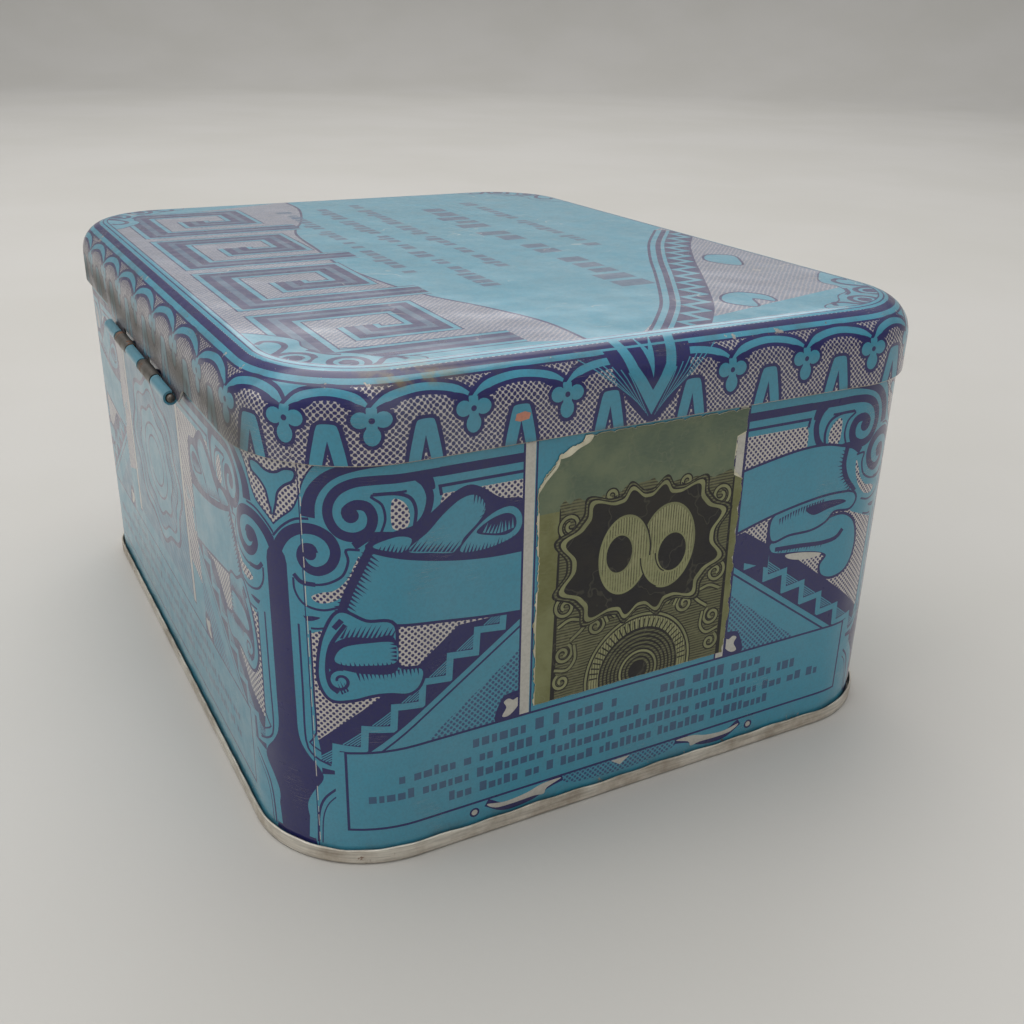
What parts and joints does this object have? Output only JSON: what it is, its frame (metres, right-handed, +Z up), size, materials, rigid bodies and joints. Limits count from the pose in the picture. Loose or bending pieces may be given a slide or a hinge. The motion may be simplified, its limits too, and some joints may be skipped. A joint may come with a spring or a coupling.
{
  "type": "hinged-lid tin",
  "caption": "Rounded rectangular tinplate box with a one-piece hinged lid, a wire hinge at the back, a seamed-on bottom with a bare rim, and a paper seal on one end.",
  "frame": {"origin": "on the resting plane, under the middle of the body", "axes": "+Z up, +X along the long side, -X is the end with the paper seal, +Y towards the hinge"},
  "size_m": [0.1286, 0.1053, 0.0667],
  "materials": {
    "body_enamel": "blue printed enamel on tinplate, gloss lacquer, worn",
    "lid_enamel": "blue printed enamel on tinplate, gloss lacquer, worn",
    "bare_tinplate": "bare tinplate, dull, spotted with rust",
    "steel_wire": "drawn steel wire, darkened",
    "printed_paper": "engraved green paper, glued down, aged"
  },
  "bodies": {
    "tin_body": {"body_wall": "body_enamel", "bottom_plate": "bare_tinplate", "hinge_wire": "steel_wire", "hinge_tab_left": "bare_tinplate", "hinge_tab_right": "bare_tinplate", "paper_seal": "printed_paper"},
    "tin_lid": {"lid": "lid_enamel"}
  },
  "joints": [
    {"name": "lid_hinge", "type": "hinge", "parent": "tin_body", "child": "tin_lid", "pos_m": [0, 0.05248, 0.054], "axis": [-1, 0, 0], "range_deg": [0, 180]}
  ]
}
